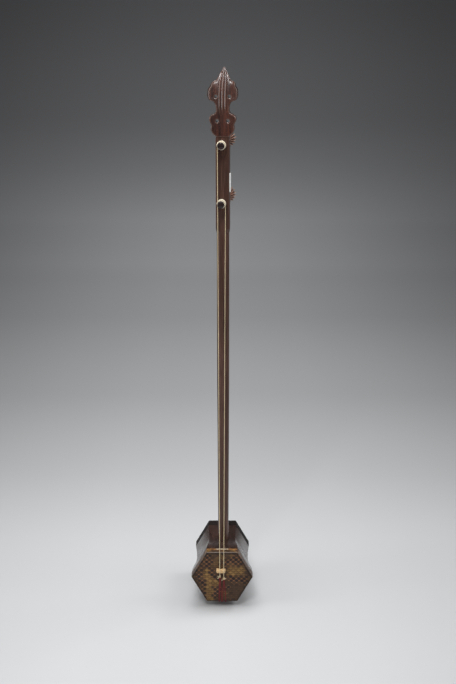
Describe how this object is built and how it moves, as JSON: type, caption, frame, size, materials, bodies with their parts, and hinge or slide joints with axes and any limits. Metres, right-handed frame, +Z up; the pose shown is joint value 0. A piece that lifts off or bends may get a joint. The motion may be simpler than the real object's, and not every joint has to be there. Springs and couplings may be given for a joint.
{
  "type": "two-string spike fiddle",
  "caption": "Upright bowed fiddle: hexagonal snakeskin-faced sound box, long round neck, carved flat head, silk strings on turning fluted pegs.",
  "frame": {"origin": "centre of the foot of the tail stub, on the neck's axis", "axes": "+Z up along the neck, -Y to the front where the snakeskin faces, +X to the right seen from the front"},
  "size_m": [0.092, 0.1698, 0.79],
  "materials": {
    "neck_wood": "dark polished hardwood",
    "head_wood": "reddish dark hardwood, carved and polished",
    "peg_wood": "reddish dark hardwood, turned and fluted",
    "box_wood": "dark polished hardwood, glossy",
    "dark_rim": "near-black polished hardwood",
    "snakeskin": "scaled snakeskin, brown with golden and dark blotches",
    "bamboo": "pale bamboo",
    "silk_string": "twisted cream silk",
    "red_silk": "dull red silk cord",
    "label_paper": "blank white paper label"
  },
  "bodies": {
    "root": {"neck": "neck_wood", "carved_head": "head_wood", "top_stave": "box_wood", "upper_right_stave": "box_wood", "lower_right_stave": "box_wood", "bottom_stave": "box_wood", "lower_left_stave": "box_wood", "upper_left_stave": "box_wood", "rear_rim": "dark_rim", "snakeskin": "snakeskin", "bridge": "bamboo", "left_string": "silk_string", "right_string": "silk_string", "left_tail_tie": "red_silk", "right_tail_tie": "red_silk", "tail_binding": "red_silk", "collection_label": "label_paper"},
    "upper_peg": {"upper_peg": "peg_wood", "upper_winding": "silk_string"},
    "lower_peg": {"lower_peg": "peg_wood", "lower_winding": "silk_string"}
  },
  "joints": [
    {"name": "upper_peg_turn", "type": "hinge", "parent": "root", "child": "upper_peg", "pos_m": [-0.0009, 0.00007, 0.684], "axis": [0.0767, 0.9971, 0], "continuous": true},
    {"name": "lower_peg_turn", "type": "hinge", "parent": "root", "child": "lower_peg", "pos_m": [-0.0009, 0.00007, 0.602], "axis": [0.0767, 0.9971, 0], "continuous": true}
  ]
}
